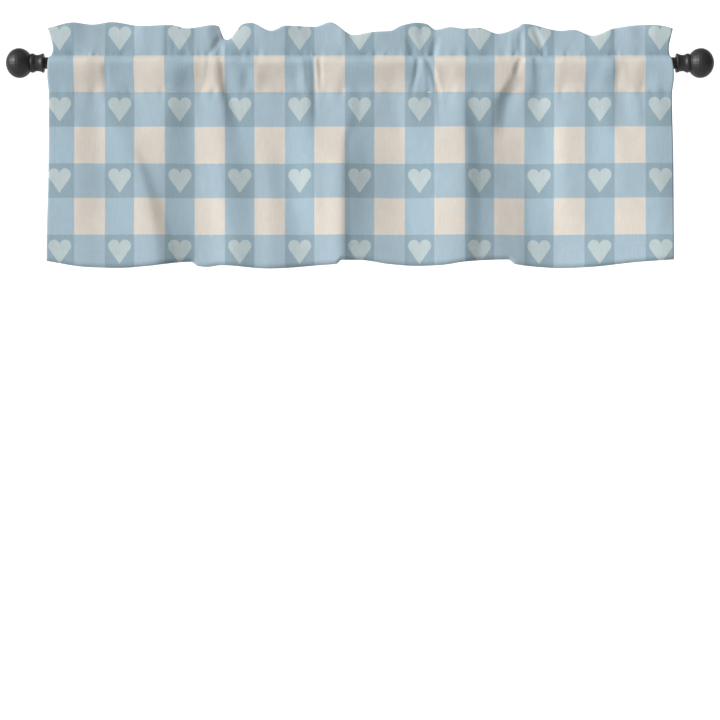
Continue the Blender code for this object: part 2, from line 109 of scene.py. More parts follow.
# Rows of the sheet along its path: heights, angles around the rod, or shares of the way
HEM_ROWS = ((34.0, 1.3), (18.0, 1.5), (6.0, 1.6), (1.5, 1.6), (0.2, 1.0))
PANEL_ROW_POWER = 0.9
FRONT_HEIGHTS = (-53.6, -52.0, -49.5, -46.0, -42.0, -37.0, -31.0, -25.0, -19.0, -13.5, -8.0)
FRONT_ANGLES = (-13, 0, 12, 23, 33, 42, 50, 57, 62)
FRONT_NECK = (0.3, 0.6, 0.85)
FRONT_CLIMBS = (0, 0.035, 0.08, 0.14, 0.21, 0.29, 0.37, 0.46, 0.55, 0.64, 0.73, 0.82, 0.91, 1.0)
CROWN_TURNS = (0.3, 0.5, 0.7)
BACK_CLIMBS = (1.0, 0.88, 0.75, 0.6, 0.45, 0.3, 0.18, 0.08, 0.0)
BACK_NECK = (0.75, 0.4)
BACK_ANGLES = (62, 50, 36, 20, 4, -13)
BACK_HEIGHTS = (-12.0, -21.0, -30.0, -38.0, -45.0, -50.0, -54.0)
POCKET_BEHIND = 1.8
SEAM_ROWS = ((-57.5, 2.6), (-59.5, 2.2), (-58.5, 1.5))

# The header: its rounded fold, how far it bellies, and how soon it opens above its stitches
CROWN_RISE = 1.2
BELLY = 0.3
HEADER_DRAPE = 0.7
PINCH_REACH = 0.25
SWING_POWER = 0.8
NECK_POWER = 1.3
OFF_ROD_SOFTNESS = 1.0

# Small gathers: how they are strewn, and the ranges of their widths, reaches and leans
OUTERMOST = 592.0
PUCKER_STEPS = (0.45, 1.6)
PUCKER_WIDTHS = (4.0, 8.5)
PUCKER_DEPTHS = (0.15, 1.0)
PUCKER_REACHES = (9.0, 24.0)
PUCKER_LEANS = (-0.35, 0.35)
PUCKER_WIDENING = 0.03
PUCKER_POWER = 1.5
GATHER_WIDTHS = (2.4, 4.2)
GATHER_DEPTHS = (0.3, 0.9)
GATHER_REACHES = (5.0, 12.0)
GATHER_LEANS = (-0.5, 0.5)
DENT_DEPTH = 0.7
DENT_REACH = 1.7

Outline = namedtuple("Outline", "x height")
Side = namedtuple("Side", "height left right")
Crest = namedtuple("Crest", "x out")
Line = namedtuple("Line", "name x depth")
Crease = namedtuple("Crease", "name path")
Hollow = namedtuple("Hollow", "x power")
Knot = namedtuple("Knot", "x spread count")
Wave = namedtuple("Wave", "height x_length z_length start cross_z cross_x")

# The header's top edge, from the left end to the right one
HEADER_TOP = [
    Outline(-587, 66.0), Outline(-538, 76.0), Outline(-504, 72.8), Outline(-468, 78.0),
    Outline(-410, 69.7), Outline(-357, 71.3), Outline(-325, 65.0), Outline(-274, 71.4),
    Outline(-265, 69.0), Outline(-260, 48.0), Outline(-254, 44.0), Outline(-217, 74.0),
    Outline(-205, 75.0), Outline(-168, 60.0), Outline(-139, 70.0), Outline(-85, 68.5),
    Outline(-56, 77.0), Outline(-13, 52.6),
    Outline(26, 58.3), Outline(56, 60.2), Outline(79, 71.0), Outline(109, 76.5),
    Outline(124, 74.6), Outline(143, 63.3), Outline(169, 68.0), Outline(196, 65.0),
    Outline(222, 66.7), Outline(261, 55.6), Outline(297, 67.5), Outline(307, 74.3),
    Outline(380, 61.3), Outline(402, 63.5), Outline(441, 51.7), Outline(480, 65.5),
    Outline(538, 71.4), Outline(570, 69.0), Outline(588, 64.0),
]

# The hem, which steps up where a valley lies back
HEM_LINE = [
    Outline(-589, -372.0), Outline(-514, -383.5), Outline(-450, -385.3), Outline(-400, -382.0),
    Outline(-317, -373.4), Outline(-306, -381.0), Outline(-288, -383.0), Outline(-262, -380.0),
    Outline(-172, -386.3), Outline(-73, -380.0), Outline(-44, -377.7), Outline(-35, -370.4),
    Outline(0, -370.2), Outline(56, -377.7), Outline(108, -381.2), Outline(151, -380.0),
    Outline(197, -373.5), Outline(242, -370.0), Outline(279, -369.0), Outline(293, -377.5),
    Outline(328, -382.0), Outline(380, -385.0), Outline(432, -383.3), Outline(518, -374.7),
    Outline(589, -370.0),
]

# The two side edges, drawn in at the header's stitch line
SIDE_EDGES = [
    Side(-375, -589.3, 587.2), Side(-305, -588.4, 587.4), Side(-220, -585.5, 587.6),
    Side(-62, -584.7, 585.6), Side(-28, -586.6, 588.1), Side(4, -584.7, 584.3),
    Side(26, -577.0, 580.0), Side(66, -586.6, 587.5),
]

# How far the header's top edge stands out into the room at each crest, and back at each dip.
# These numbers were fitted by another program to the light on the cloth, not chosen by hand.
RUFFLE = [
    Crest(-587, -0.5), Crest(-570, 0.5), Crest(-553, 2.5), Crest(-538, 3.5), Crest(-528, 1.5),
    Crest(-515, -1), Crest(-498, -3), Crest(-476, -5.5), Crest(-455, -4.5), Crest(-430, -2),
    Crest(-404, 2), Crest(-387, 2), Crest(-370, 2.5), Crest(-350, 2), Crest(-325, 2.5),
    Crest(-303, 1.5), Crest(-287, 2.5), Crest(-264, -2.5), Crest(-250, -3), Crest(-225, 1),
    Crest(-206, 4.5), Crest(-186, 6), Crest(-168, 5), Crest(-150, 4), Crest(-137, 3),
    Crest(-125, 1.5), Crest(-110, 0), Crest(-92, -2), Crest(-74, -2), Crest(-48, -1),
    Crest(-32, 1), Crest(-17, 0), Crest(8, 3), Crest(30, 4), Crest(52, 2.5), Crest(70, 0.5),
    Crest(88, -1.5), Crest(103, -2), Crest(119, -4.5), Crest(136, -4), Crest(152, -3.5),
    Crest(171, -2), Crest(192, -1), Crest(214, -1), Crest(235, -1), Crest(262, -2),
    Crest(286, -1.5), Crest(300, -1.5), Crest(318, -1.5), Crest(340, -2.5), Crest(356, -3),
    Crest(380, -5), Crest(404, -5.5), Crest(432, -3), Crest(450, 0), Crest(468, 2),
    Crest(480, 0.5), Crest(510, 3), Crest(530, 2), Crest(556, 6), Crest(582, 6), Crest(588, 6),
]

# How suddenly the pocket falls back below the rod, from 1, a straight slope, to 2.5, a step
POCKET_HOLLOWS = [
    Hollow(-588, 1.3), Hollow(-530, 1.6), Hollow(-480, 2.0), Hollow(-430, 1.4),
    Hollow(-350, 1.4), Hollow(-320, 2.2), Hollow(-250, 1.6), Hollow(-228, 1.3),
    Hollow(-212, 2.1), Hollow(-196, 1.3), Hollow(-170, 2.2), Hollow(-120, 2.4),
    Hollow(-100, 1.2), Hollow(-45, 1.3), Hollow(-20, 1.8), Hollow(30, 2.2),
    Hollow(62, 2.3), Hollow(90, 1.6), Hollow(120, 1.6), Hollow(142, 1.1), Hollow(165, 2.0),
    Hollow(240, 2.3), Hollow(275, 1.6), Hollow(345, 1.1), Hollow(385, 2.1),
    Hollow(425, 2.0), Hollow(455, 1.2), Hollow(480, 1.8), Hollow(500, 1.1),
    Hollow(530, 1.8), Hollow(560, 1.1), Hollow(588, 1.1),
]

# Drops below the rod's axis at which each fold line's place and depth are given
FOLD_DROPS = (25.0, 85.0, 150.0, 220.0, 350.0)

# Lines that run down the cloth along its ridges and valleys, from left to right. The cloth turns
# smoothly from each line to the next. A positive depth lies back, a negative one stands out.
# The places were chosen one by one. The depths were fitted by another program to the light on the
# cloth.
FOLD_LINES = [
    Line("left edge", (-590, -590, -590, -590, -590), (0, -2, -0.5, -2.5, -0.5)),
    Line("flat by the left edge", (-560, -560, -562, -562, -560), (-0.5, -2.5, -2.5, -4.5, -1.5)),
    Line("before the first hollow", (-515, -525, -538, -538, -532), (-2.5, -1.5, -3.5, -5.5, -3)),
    Line("first hollow", (-493, -494, -490, -480, -486), (-1, 1, 0, 0, -1.5)),
    Line("first ridge", (-474, -468, -440, -410, -384), (1, -1, -3.5, -6, -9.5)),
    Line("foot of the first ridge", (-440, -430, -414, -387, -357), (2, 0.5, -2.5, -0.5, -3)),
    Line("before the trough", (-352, -362, -374, -375, -345), (-6.5, -4.5, -3, 0.5, 1)),
    Line("bottom of the trough", (-318, -316, -312, -308, -306), (0, 2.5, 5, 8, 8)),
    Line("right of the trough", (-302, -302, -296, -288, -286), (1, 2, 4, 6, 7)),
    Line("flat ridge", (-274, -262, -258, -255, -236), (-1.5, -1.5, 1, 1, -1.5)),
    Line("foot of the long crease", (-256, -238, -220, -200, -195), (2.5, 3.5, 4, 6.5, 1.5)),
    Line("plateau", (-200, -195, -188, -175, -165), (0.5, 1, 3.5, 5.5, 0)),
    Line("broad valley", (-135, -140, -146, -140, -114), (2, 1.5, 5, 9, 3)),
    Line("shoulder", (-104, -100, -90, -82, -78), (2, -1.5, -4.5, -5.5, -0.5)),
    Line("beside the shoulder", (-80, -78, -74, -70, -66), (2.5, 1, -5.5, -6.5, -3)),
    Line("narrow ridge", (-26, -20, -36, -37, -37), (-1.5, -3, -7, -11, -8)),
    Line("foot of the narrow ridge", (0, 4, -18, -17, -15), (-1.5, 0, -3, -5.5, -2)),
    Line("deep valley", (22, 25, 22, 22, 22), (-1.5, 0, 3.5, 4.5, 3)),
    Line("bottom of the deep valley", (68, 66, 76, 80, 84), (0.5, 2.5, 5.5, 10.5, 7.5)),
    Line("long slope", (104, 98, 106, 110, 112), (2.5, -2, 1, 5.5, 4)),
    Line("long slope, lower", (148, 150, 150, 150, 150), (2, -2.5, -6, -4, -3.5)),
    Line("wide ridge", (184, 190, 193, 194, 194), (-2.5, -6.5, -8, -9, -8)),
    Line("foot of the wide ridge", (226, 214, 226, 228, 230), (-1, -2.5, 1, 0, 1)),
    Line("above the slanting crease", (284, 246, 246, 256, 260), (-0.5, -1, 4.5, 5, 4)),
    Line("below the slanting crease", (302, 278, 274, 288, 296), (5.5, 9, 8.5, 11, 10)),
    Line("right valley", (322, 304, 312, 314, 326), (4, 7.5, 11, 14, 15.5)),
    Line("low ridge", (346, 332, 344, 344, 352), (6.5, 9.5, 9.5, 10.5, 15.5)),
    Line("flat right of it", (388, 396, 390, 390, 410), (-2, -2, 0.5, -0.5, 7)),
    Line("before the right ridge", (436, 438, 434, 430, 440), (-2.5, -4, -0.5, -2.5, 1)),
    Line("right ridge", (468, 464, 486, 496, 496), (-3, -6.5, -9.5, -11.5, -8)),
    Line("right of the right ridge", (506, 500, 520, 530, 536), (-0.5, -5.5, -10.5, -13.5, -15)),
    Line("by the right edge", (560, 560, 560, 562, 568), (-2.5, -9.5, -12, -15, -20)),
    Line("right edge", (590, 590, 590, 590, 590), (-6, -6.5, -11.5, -13, -20.5)),
]

# Short sharp creases that run down from the gathers: x, z, depth, and the reach to the left and
# to the right, each path from its lower end up
PANEL_CREASES = [
    Crease("first ridge's edge", [(-478, -75, 0, 8, 10), (-478, -45, 1, 8, 10),
                                  (-478, -10, 1.2, 7, 10), (-480, 4, 0, 6, 8)]),
    Crease("apex of the trough", [(-352, -110, 0, 60, 34), (-352, -60, 1.2, 60, 34),
                                  (-352, -20, 1.7, 60, 34), (-350, 2, 0.8, 50, 30),
                                  (-350, 12, 0, 40, 20)]),
    Crease("foot of the apex", [(-318, -110, 0, 34, 30), (-318, -60, -1.0, 34, 30),
                                (-318, -20, -1.4, 34, 30), (-320, 4, 0, 30, 24)]),
    Crease("small crease", [(-300, -62, 0, 8, 26), (-294, -45, 0.6, 7, 30), (-288, -26, 1.2, 7, 30),
                            (-285, -5, 1.2, 7, 28), (-283, 12, 0.6, 6, 16)]),
    Crease("long crease", [(-230, -130, 0, 16, 16), (-240, -85, 0.5, 14, 16),
                           (-248, -48, 1.4, 15, 18), (-254, -12, 1.6, 14, 18),
                           (-265, 12, 0.7, 9, 12)]),
    Crease("crease on the shoulder", [(-84, -120, 0, 12, 8), (-84, -60, 1.4, 12, 8),
                                      (-86, -20, 2.2, 12, 7), (-90, 12, 1.2, 8, 5)]),
    Crease("strip beside it", [(-106, -62, 0, 16, 8), (-106, -30, -1.6, 16, 8),
                               (-107, 0, -1.6, 14, 8), (-108, 12, -0.5, 10, 6)]),
    Crease("crease right of it", [(-74, -70, 0, 8, 8), (-74, -20, 2, 8, 8), (-76, 12, 1.2, 6, 7)]),
    Crease("middle knot, left", [(96, -75, 0, 9, 8), (100, -45, 1.4, 8, 9), (106, -20, 2.8, 8, 9),
                                 (108, 5, 2.4, 7, 8), (106, 14, 0.8, 6, 6)]),
    Crease("middle knot, ridge", [(123, -60, 0, 8, 8), (122, -25, -1.4, 8, 7),
                                  (117, 12, -1, 7, 6)]),
    Crease("middle knot, right", [(150, -120, 0, 9, 10), (147, -60, 1.2, 9, 10),
                                  (143, -38, 3, 9, 9), (137, -18, 3.4, 9, 9),
                                  (130, -2, 2.2, 8, 8), (123, 10, 0.4, 6, 6)]),
    Crease("slanting crease", [(262, -80, 0, 14, 14), (276, -48, 0.9, 12, 14),
                               (291, -20, 1.9, 10, 12), (300, 2, 2.3, 9, 11),
                               (302, 14, 1.2, 7, 7)]),
    Crease("right knot, wedge", [(336, -70, 0, 15, 30), (337, -46, 0.7, 15, 30),
                                 (334, -15, 2.8, 14, 28), (330, 5, 2.2, 8, 14), (328, 14, 1, 6, 8)]),
    Crease("right of the knot", [(368, -100, 0, 40, 24), (368, -62, -2.2, 40, 24),
                                 (368, -20, -2.2, 40, 22), (370, 4, -1, 34, 20),
                                 (372, 13, 0, 20, 14)]),
    Crease("right fold", [(476, -130, 0, 26, 8), (475, -85, -0.9, 28, 9), (474, -48, -1.2, 30, 10),
                          (471, -15, -2.2, 30, 15), (471, 2, -1.8, 28, 16),
                          (472, 13, -0.5, 22, 12)]),
    Crease("bulge near the right end", [(520, -135, 0, 26, 18), (520, -100, -2, 28, 18),
                                        (520, -66, -2.4, 28, 16), (523, -30, -1.8, 24, 16),
                                        (524, 6, -0.8, 20, 14)]),
]

# Creases of the header's front layer, from their lower end up: x, z, depth, and the reach to
# the left and to the right. A positive depth lies back.
HEADER_CREASES = [
    Crease("narrow fold", [(-364, 12, 0.6, 6, 7), (-364, 45, 1, 6, 8), (-364, 72, 0.6, 7, 8)]),
    Crease("next little fold", [(-350, 15, 0.2, 4, 7), (-350, 30, 0.6, 4, 8), (-350, 52, 0, 4, 7)]),
    Crease("third little fold", [(-316, 15, 0.5, 4, 7), (-317, 34, 0.5, 4, 7),
                                 (-318, 52, 0, 4, 7)]),
    Crease("hollow of the notch", [(-284, 15, 0, 9, 22), (-272, 30, 2.6, 11, 26),
                                   (-262, 44, 4.2, 15, 28), (-258, 54, 1.2, 14, 24),
                                   (-256, 62, 0, 12, 18)]),
    Crease("below the notch", [(-266, 14, 1.4, 6, 7), (-262, 26, 1.4, 6, 7), (-260, 34, 0, 6, 7)]),
    Crease("middle knot, left", [(100, 14, 2.2, 12, 14), (97, 30, 2.6, 12, 14),
                                 (90, 50, 0.8, 11, 10)]),
    Crease("middle knot, right", [(139, 14, 2.4, 13, 10), (141, 30, 2.6, 14, 10),
                                  (146, 50, 0.8, 12, 10)]),
    Crease("middle knot, tuck", [(104, 50, 0, 7, 9), (114, 57, 1.2, 8, 10), (128, 63, 1.2, 9, 9),
                                 (134, 70, 0, 9, 9)]),
    Crease("right knot, strip", [(284, 12, -0.6, 9, 8), (284, 40, -1, 9, 8), (284, 60, 0, 9, 8)]),
    Crease("right knot, band", [(303, 14, 1.6, 10, 8), (303, 38, 2.6, 11, 9),
                                (302, 58, 1.4, 9, 8)]),
    Crease("right knot, cleft", [(345, 14, 1.6, 10, 9), (342, 32, 2.6, 11, 9),
                                 (334, 52, 2.6, 10, 9), (326, 70, 1.4, 9, 8)]),
]

# Where the header's stitches pull the cloth into tight little gathers: how widely, and how many
KNOTS = [
    Knot(-498, 16, 6), Knot(-476, 6, 4), Knot(-342, 12, 6), Knot(-292, 8, 5), Knot(-268, 10, 7),
    Knot(-206, 10, 4), Knot(-98, 12, 8), Knot(24, 14, 3), Knot(104, 9, 6), Knot(130, 9, 6),
    Knot(206, 14, 3), Knot(290, 8, 6), Knot(330, 12, 9), Knot(404, 16, 3), Knot(462, 8, 5),
    Knot(488, 9, 6), Knot(536, 10, 4),
]

# Rows of stitches: from one to the next, a stitch's length, the thread, and where the rows run
STITCH_PITCH = 3.1
STITCH_LENGTH = 2.2
THREAD_RADIUS = 0.22
THREAD_LIFT = 0.16
THREAD_SINK = 0.15
THREAD_KNEES = (0.22, 0.78)
STITCH_UNEVENNESS = 0.12
STITCH_SEED = 17
HEADER_ROW_ENDS = (0.004, 0.996)
LEVEL_ROW_INSET = 4.0
UPRIGHT_ROW_INSET = 3.0
HEM_RISE = 30.0
SIDE_HEM = 12.0
SIDE_HEM_ROWS = 60
SIDE_HEM_SEWN_IN = 2.0
SIDE_HEM_BELOW_SEAM = 5.0
SIDE_HEM_STEPS = [(0.3, 0.45), (1.2, 1.0), (4.0, 1.1), (8.0, 1.1), (SIDE_HEM, 1.0)]

# Slow uneven waves of hanging cloth, each a product of two sines
DRAPE_WAVES = (
    Wave(0.45, 31.0, 87.0, 0.7, 53.0, -140.0),
    Wave(0.3, 17.3, -64.0, 2.1, 29.0, 77.0),
)


def smooth_step(value):
    value = np.clip(value, 0.0, 1.0)
    return value * value * (3.0 - 2.0 * value)


def soft_positive(value, softness=1.5):
    """The value where it is positive and almost nothing where it isn't, with a soft turn."""
    return 0.5 * (value + np.sqrt(value * value + softness * softness))


def read_table(places, values, at):
    """Read a table's values along a smooth curve that never swings past its rows."""
    places = np.asarray(places, float)
    values = np.asarray(values, float)
    run = np.diff(places)
    slope = np.diff(values) / run
    product = slope[:-1] * slope[1:]
    total = slope[:-1] + slope[1:]
    tangent = np.concatenate([slope[:1], np.zeros(len(total)), slope[-1:]])
    turning = product > 0
    tangent[1:-1][turning] = 2.0 * product[turning] / total[turning]
    at = np.clip(at, places[0], places[-1])
    row = np.clip(np.searchsorted(places, at, side="right") - 1, 0, len(run) - 1)
    share = (at - places[row]) / run[row]
    rest = 1.0 - share
    ends = values[row] * rest * rest * (1.0 + 2.0 * share)
    ends = ends + values[row + 1] * share * share * (3.0 - 2.0 * share)
    leans = share * rest * run[row] * (tangent[row] * rest - tangent[row + 1] * share)
    return ends + leans


def column_of(table, field):
    return [getattr(row, field) for row in table]


def line_turns(places, depths):
    """How steeply the cloth leans across each fold line, so that it never swings past them."""
    slope = np.diff(depths, axis=0) / np.diff(places, axis=0)
    product = slope[:-1] * slope[1:]
    total = slope[:-1] + slope[1:]
    turning = product > 0
    inner = np.where(turning, 2.0 * product / np.where(turning, total, 1.0), 0.0)
    return np.concatenate([slope[:1], inner, slope[-1:]])


def fold_depth(x, z):
    """How far the cloth lies back from its flat hang, read across the fold lines."""
    x, z = np.broadcast_arrays(np.asarray(x, float), np.asarray(z, float))
    drop = -z
    places = np.array([read_table(FOLD_DROPS, line.x, drop) for line in FOLD_LINES])
    depths = np.array([read_table(FOLD_DROPS, line.depth, drop) for line in FOLD_LINES])
    turns = line_turns(places, depths)
    x = np.clip(x, places[0], places[-1])
    row = np.clip(np.sum(x >= places, axis=0) - 1, 0, len(FOLD_LINES) - 2)[None]
    near, far = (np.take_along_axis(places, row + step, 0)[0] for step in (0, 1))
    here, there = (np.take_along_axis(depths, row + step, 0)[0] for step in (0, 1))
    lean, next_lean = (np.take_along_axis(turns, row + step, 0)[0] for step in (0, 1))
    share = (x - near) / (far - near)
    rest = 1.0 - share
    ends = here * rest * rest * (1.0 + 2.0 * share) + there * share * share * (3.0 - 2.0 * share)
    return ends + share * rest * (far - near) * (lean * rest - next_lean * share)


def crease_depth(creases, x, z):
    """The sum of the listed creases, each a soft trough along its own path."""
    total = np.zeros(np.broadcast(x, z).shape)
    for crease in creases:
        middle, height, depth, left, right = np.array(crease.path, float).T
        centre = np.interp(z, height, middle)
        deep = np.interp(z, height, depth, left=0.0, right=0.0)
        reach = np.where(x < centre, np.interp(z, height, left), np.interp(z, height, right))
        near = np.clip(np.abs(x - centre) / reach, 0.0, 1.0)
        total = total + deep * (0.5 + 0.5 * np.cos(pi * near))
    return total


def ruffle_out(x):
    return read_table(column_of(RUFFLE, "x"), column_of(RUFFLE, "out"), x)


def header_top(x):
    return read_table(column_of(HEADER_TOP, "x"), column_of(HEADER_TOP, "height"), x)


def hem_height(x):
    return read_table(column_of(HEM_LINE, "x"), column_of(HEM_LINE, "height"), x)


def place_across(share, z):
    """The x of a point at this share of the way from the left edge to the right one."""
    heights = column_of(SIDE_EDGES, "height")
    left = read_table(heights, column_of(SIDE_EDGES, "left"), z)
    right = read_table(heights, column_of(SIDE_EDGES, "right"), z)
    return left + (right - left) * share


def column_shares():
    """Shares of the width for the columns, closer together where the cloth bends most."""
    share = np.linspace(0.0, 1.0, FINE_COLUMNS)
    x = place_across(share, 0.0)
    bend = np.abs(np.gradient(np.gradient(ruffle_out(x))))
    bend = bend + np.abs(np.gradient(np.gradient(header_top(x))))
    for drop in FOLD_DROPS:
        bend = bend + np.abs(np.gradient(np.gradient(fold_depth(x, -drop))))
    window = np.ones(DENSITY_BLUR) / DENSITY_BLUR
    density = FLAT_DENSITY + np.minimum(np.convolve(bend, window, mode="same"), BENT_DENSITY)
    reach = np.concatenate([[0.0], np.cumsum(0.5 * (density[1:] + density[:-1]))])
    return np.interp(np.linspace(0.0, reach[-1], COLUMNS), reach, share)


def make_puckers(seed, spacing, strength):
    """Small gathers along a stitch line: places, widths and depths, uneven as sewing leaves them."""
    chance = np.random.RandomState(seed)
    places = [-OUTERMOST]
    while places[-1] < OUTERMOST:
        places.append(places[-1] + spacing * chance.uniform(*PUCKER_STEPS))
    count = len(places)
    return (
        np.array(places),
        chance.uniform(*PUCKER_WIDTHS, count),
        strength * chance.uniform(*PUCKER_DEPTHS, count) ** 1.5 * chance.choice([-0.6, 1.0], count),
        chance.uniform(*PUCKER_REACHES, count),
        chance.uniform(*PUCKER_LEANS, count),
    )


def make_gathers(seed):
    """Tight gathers around each knot of the header's stitch line, deeper near its middle."""
    chance = np.random.RandomState(seed)
    rows = []
    for knot in KNOTS:
        for _ in range(knot.count):
            rows.append((
                chance.normal(knot.x, knot.spread),
                chance.uniform(*GATHER_WIDTHS),
                chance.uniform(*GATHER_DEPTHS) * chance.choice([-1.0, 1.0]),
                chance.uniform(*GATHER_REACHES),
                chance.uniform(*GATHER_LEANS),
            ))
    return tuple(np.array(rows).T)


HEADER_PUCKERS = make_puckers(seed=11, spacing=15.0, strength=1.5)
SEAM_PUCKERS = make_puckers(seed=29, spacing=18.0, strength=1.6)
HEADER_GATHERS = make_gathers(seed=5)


def pucker_depth(puckers, x, away):
    """Depth of the small gathers this far (signed) from their stitch line."""
    total = np.zeros(np.broadcast(x, away).shape)
    for place, width, deep, reach, lean in zip(*puckers):
        widened = width * (1.0 + PUCKER_WIDENING * np.abs(away))
        near = (x - place - lean * away) / widened
        fade = np.exp(-((np.abs(away) / reach) ** PUCKER_POWER))
        total = total + deep * fade * np.exp(-near * near)
    return total


def drape(x, z):
    """Slow uneven waves of well under a millimetre, as hanging cloth has."""
    total = 0.0
    for wave in DRAPE_WAVES:
        along = np.sin(x / wave.x_length + z / wave.z_length + wave.start)
        total = total + wave.height * along * np.sin(z / wave.cross_z + x / wave.cross_x)
    return total


def stitch_dent(z, at):
    """The little groove that a row of stitches pulls into the cloth."""
    return DENT_DEPTH * np.exp(-(((z - at) / DENT_REACH) ** 2))


class Path:
    """Rows of the sheet, each a line across the cloth with its place in the print."""

    def __init__(self, shares):
        self.shares = shares
        self.points = []
        self.prints = []

    def add(self, x, y, z, printed):
        shape = self.shares.shape
        line = [np.broadcast_to(part, shape) for part in (x, y, z)]
        self.points.append(np.stack(line, axis=1))
        self.prints.append(np.stack([line[0], np.broadcast_to(printed, shape)], axis=1))


def panel_depth(x, z):
    depth = fold_depth(x, z) + drape(x, z) + crease_depth(PANEL_CREASES, x, z)
    return depth + pucker_depth(SEAM_PUCKERS, x, z - SEAM_Z) + stitch_dent(z, SEAM_Z)


def add_hem(path):
    """The hem's turned-up allowance behind the cloth, down to the hem's rounded edge."""
    low = hem_height(place_across(path.shares, HEM_Z))
    for rise, behind in HEM_ROWS:
        z = low + rise
        x = place_across(path.shares, z)
        path.add(x, panel_depth(x, z) + behind, z, 2.0 * low - z)


def add_panel(path):
    low = hem_height(place_across(path.shares, HEM_Z))
    climbs = (np.arange(PANEL_ROWS) / (PANEL_ROWS - 1.0)) ** PANEL_ROW_POWER
    for climb in climbs:
        z = low + (SEAM_Z - low) * climb
        x = place_across(path.shares, z)
        path.add(x, panel_depth(x, z), z, z)


def pocket_point(path, z, side):
    """The ease that the folds take up in the pocket, less of it where the rod holds the cloth."""
    x = place_across(path.shares, z)
    depth = fold_depth(x, z)
    free = TIGHT_SHARE + (1.0 - TIGHT_SHARE) * smooth_step((FREE_BELOW_Z - z) / FREE_FADE)
    loose = soft_positive(POCKET_EASE + side * depth * free)
    return x, depth, loose


def header_small(x, z):
    small = pucker_depth(HEADER_PUCKERS, x, z - STITCH_Z)
    return small + pucker_depth(HEADER_GATHERS, x, z - STITCH_Z)


def pocket_small(x, z):
    small = drape(x, z) + pucker_depth(SEAM_PUCKERS, x, z - SEAM_Z) + stitch_dent(z, SEAM_Z)
    small = small + crease_depth(PANEL_CREASES, x, z)
    return small + header_small(x, z)


def off_rod(y, z, side):
    """Keep the pocket's cloth off the rod, however deep a crease is."""
    nearest = np.sqrt(np.maximum(CLOSEST_TO_AXIS ** 2 - z * z, 0.0))
    return side * (nearest + soft_positive(side * y - nearest, OFF_ROD_SOFTNESS))


def add_pocket_low(path, side, heights, behind=0.0):
    """The pocket between its seam and the rod, in front of the rod or behind it."""
    for z in heights:
        z = np.full(len(path.shares), z)
        x, depth, loose = pocket_point(path, z, side)
        hollow = read_table(column_of(POCKET_HOLLOWS, "x"), column_of(POCKET_HOLLOWS, "power"), x)
        closing = (z - SEAM_Z) / -SEAM_Z
        near = 1.0 - (1.0 - closing) ** FALL_START
        out = WRAP_RADIUS * near ** hollow + closing * loose
        follow = (1.0 - closing) * depth
        small = pocket_small(x, z) if side < 0 else 0.0
        y = side * out + follow + small + behind * (1.0 - closing)
        if z[0] > -CLOSEST_TO_AXIS:
            y = off_rod(y, z, side)
        path.add(x, y, z, fold_print(path, z, side))


def add_pocket_arc(path, side, angles):
    for angle in angles:
        z = np.full(len(path.shares), WRAP_RADIUS * sin(radians(angle)))
        x, depth, loose = pocket_point(path, z, side)
        out = (WRAP_RADIUS + loose) * cos(radians(angle))
        small = pocket_small(x, z) * cos(radians(angle)) if side < 0 else 0.0
        path.add(x, off_rod(side * out + small, z, side), z, fold_print(path, z, side))


def fold_print(path, z, side):
    """Height in the print: the height itself in front, and past the header's fold behind."""
    if side < 0:
        return z
    return 2.0 * header_top(place_across(path.shares, HEADER_Z)) - z


def header_centre(x, climb):
    swing = WAIST_SHARE + (1.0 - WAIST_SHARE) * climb ** SWING_POWER
    return -ruffle_out(x) * swing


def header_point(path, climb, side):
    top = header_top(place_across(path.shares, HEADER_Z)) - CROWN_RISE
    z = STITCH_Z + (top - STITCH_Z) * climb
    x = place_across(path.shares, z)
    belly = 4.0 * climb * (1.0 - climb)
    opening = smooth_step(climb / PINCH_REACH)
    gap = PINCHED_HALF_GAP + (HEADER_HALF_GAP - PINCHED_HALF_GAP) * opening
    shift = crease_depth(HEADER_CREASES, x, z) + header_small(x, z)
    y = header_centre(x, climb) + shift + HEADER_DRAPE * drape(x, z) + side * (gap + BELLY * belly)
    return x, y, z


def add_neck(path, side, shares_of_way):
    """The short turn from the top of the rod into the header's stitch line."""
    angle = radians(HIGHEST_ANGLE)
    z_low = np.full(len(path.shares), WRAP_RADIUS * sin(angle))
    x, depth, loose = pocket_point(path, z_low, side)
    y_low = side * (WRAP_RADIUS + loose) * cos(angle)
    if side < 0:
        y_low = y_low + pocket_small(x, z_low) * cos(angle)
    y_low = off_rod(y_low, z_low, side)
    x_high, y_high, z_high = header_point(path, np.zeros(len(path.shares)), side)
    for way in shares_of_way:
        turn = 1.0 - (1.0 - way) ** 2
        y = y_low + (y_high - y_low) * turn
        z = z_low + (z_high - z_low) * way ** NECK_POWER
        path.add(x + (x_high - x) * way, y, z, fold_print(path, z, side))


def add_header(path, side, climbs):
    for climb in climbs:
        x, y, z = header_point(path, np.full(len(path.shares), climb), side)
        path.add(x, y, z, fold_print(path, z, side))


def add_crown(path, turns):
    """The fold along the header's top edge."""
    one = np.ones(len(path.shares))
    x, front, z = header_point(path, one, -1)
    _, back, _ = header_point(path, one, 1)
    for turn in turns:
        y = front + (back - front) * (0.5 - 0.5 * cos(pi * turn))
        lift = CROWN_RISE * sin(pi * turn)
        path.add(x, y, z + lift, z + CROWN_RISE + (turn - 0.5) * 2.0 * CROWN_RISE)


